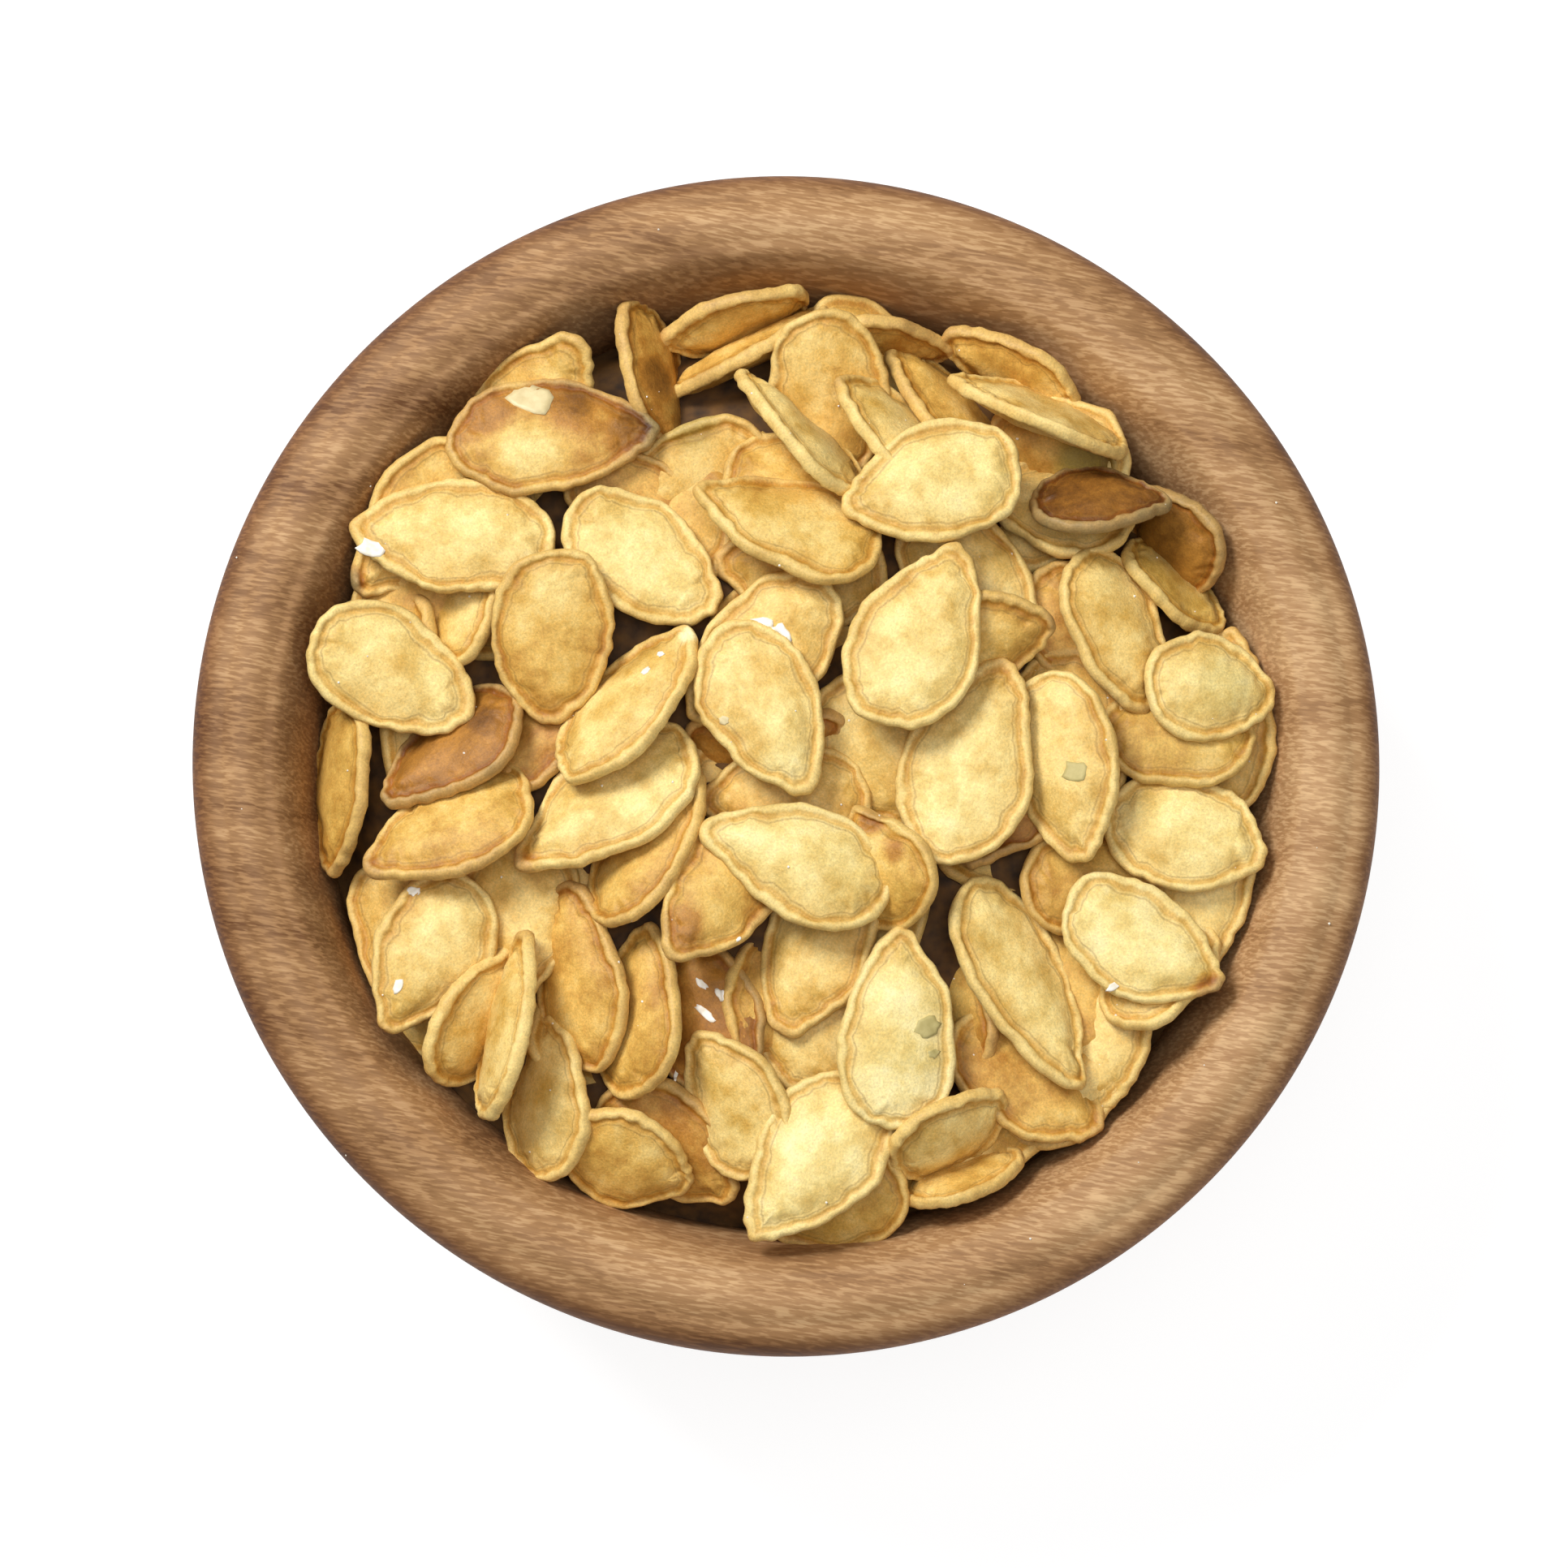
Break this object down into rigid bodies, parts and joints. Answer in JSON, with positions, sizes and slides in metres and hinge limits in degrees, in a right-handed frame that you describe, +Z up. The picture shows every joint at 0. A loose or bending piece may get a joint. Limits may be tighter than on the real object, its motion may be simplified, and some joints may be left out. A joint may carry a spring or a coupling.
{
  "type": "bowl of pumpkin seeds",
  "caption": "Round turned wooden bowl heaped to the rim with roasted pumpkin seeds in their shells.",
  "frame": {"origin": "middle of the bowl's flat foot, on the surface it stands on", "axes": "+Z up along the bowl's axis, -Y towards the bottom of the picture, +X to its right"},
  "size_m": [0.1132, 0.1132, 0.0515],
  "materials": {
    "bowl_wood": "satin turned brown wood with straight grain",
    "seed_shell": "dry roasted seed shell, cream to golden brown, slightly glossy"
  },
  "bodies": {
    "root": {"bowl": "bowl_wood", "seed_heap": "seed_shell"}
  },
  "joints": []
}
